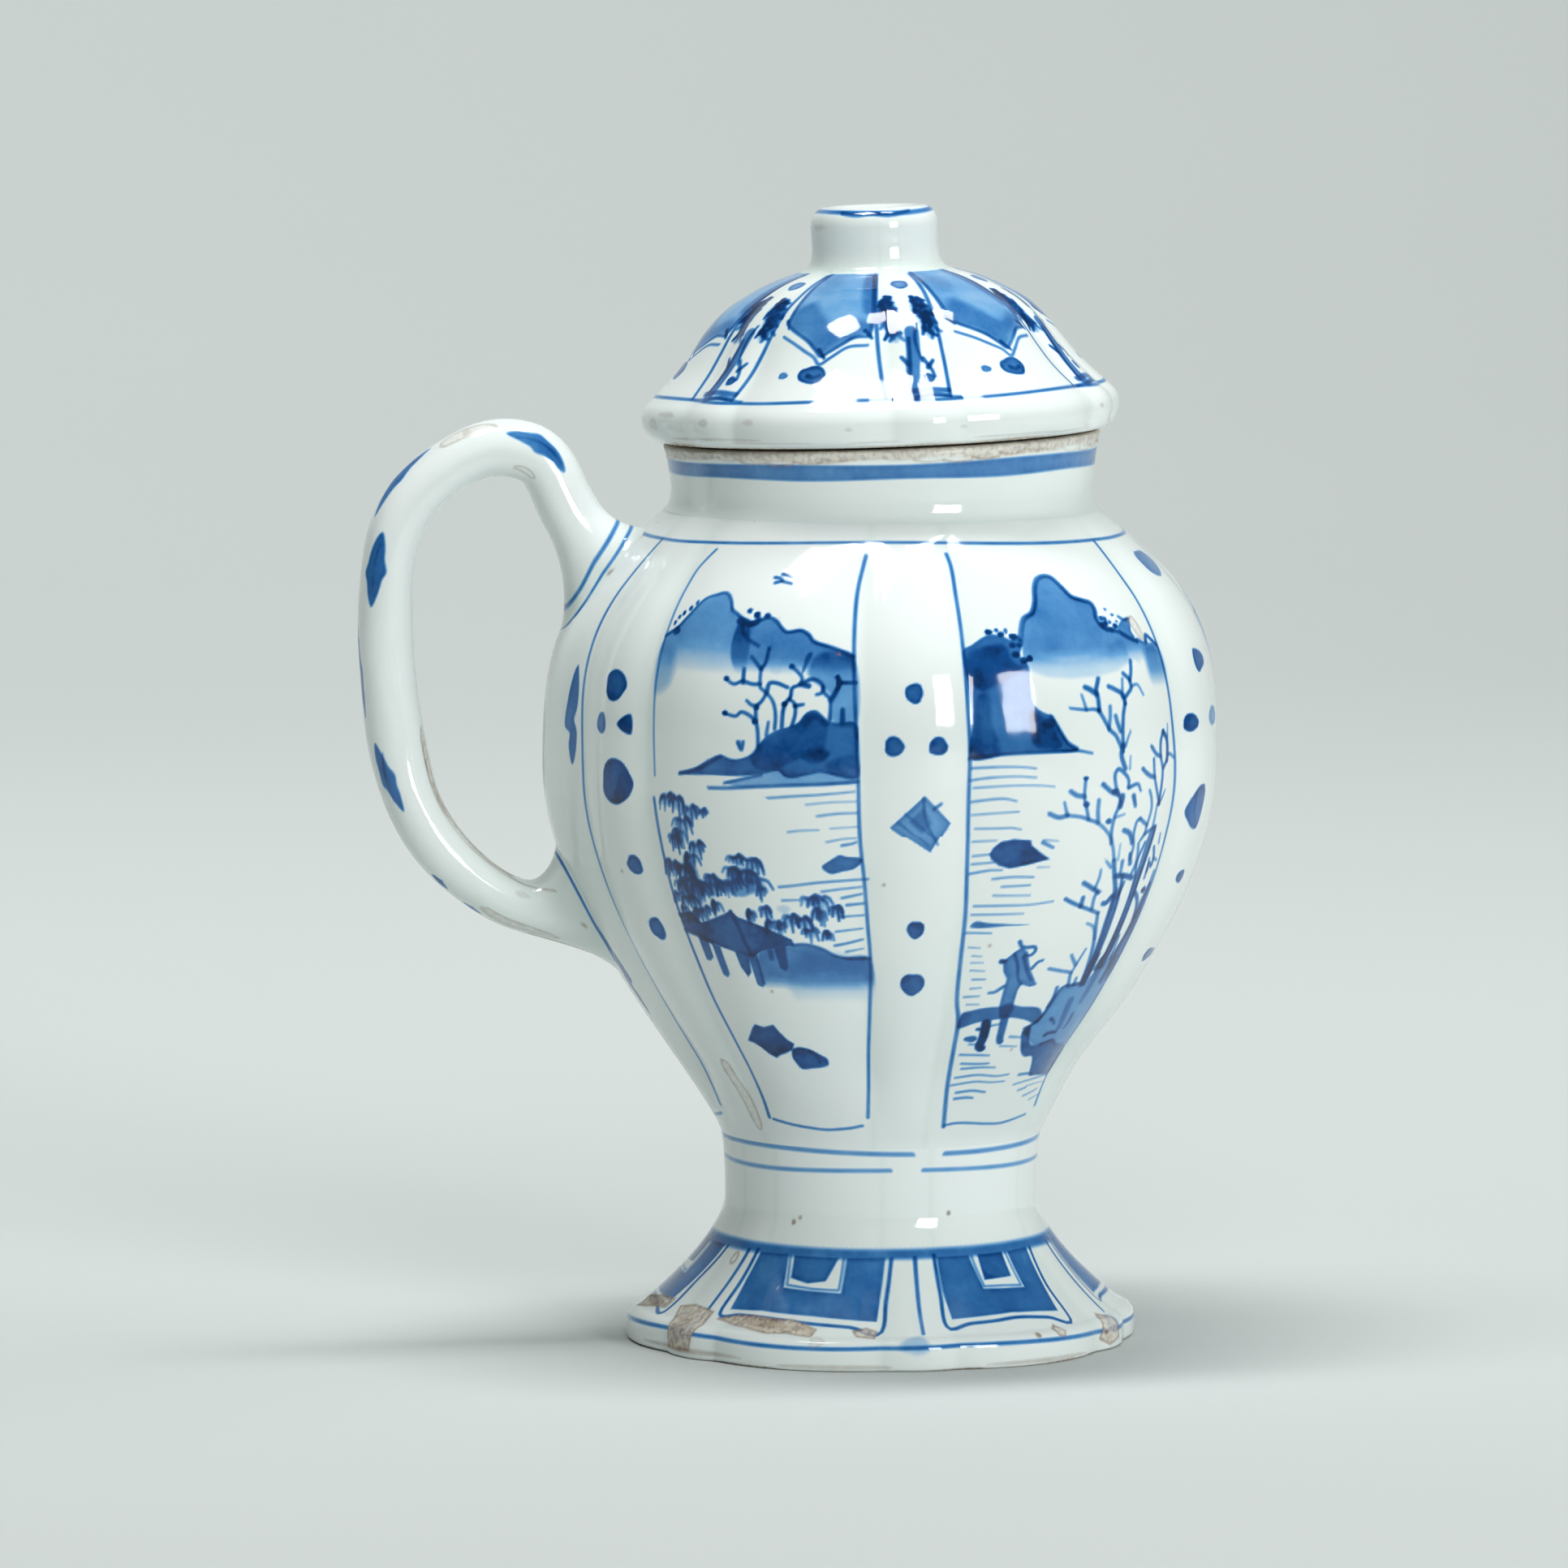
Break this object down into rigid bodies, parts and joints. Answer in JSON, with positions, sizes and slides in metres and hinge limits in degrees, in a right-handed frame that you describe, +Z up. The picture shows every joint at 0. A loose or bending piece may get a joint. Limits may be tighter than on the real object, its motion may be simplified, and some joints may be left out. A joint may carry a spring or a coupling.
{
  "type": "mustard pot",
  "caption": "Covered porcelain mustard pot: lobed belly on a hollow spreading foot, loop handle, lift-off domed cover with button knob",
  "frame": {"origin": "middle of the whole pot's footprint (its bounding box), on the plane that the foot ring stands on", "axes": "+Z up along the pot's height; the handle points to -X; the pot's own turning axis is at about x = +0.0117 m, y = 0"},
  "size_m": [0.1074, 0.0832, 0.1415],
  "materials": {
    "painted_glaze": "white porcelain under clear glossy glaze, painted in cobalt blue under the glaze",
    "white_glaze": "white porcelain under clear glossy glaze with a faint blue-green tint",
    "bare_clay": "unglazed porcelain, matt, slightly buff from the kiln"
  },
  "bodies": {
    "pot": {"foot": "painted_glaze", "lower_body": "painted_glaze", "upper_body": "painted_glaze", "neck": "white_glaze", "handle": "white_glaze"},
    "cover": {"cover_dome": "painted_glaze", "cover_flange": "bare_clay", "cover_knob": "white_glaze"}
  },
  "joints": [
    {"name": "cover_lift", "type": "slide", "parent": "pot", "child": "cover", "axis": [-0.0349, 0, 0.9994], "range_m": [0, 0.06]}
  ]
}
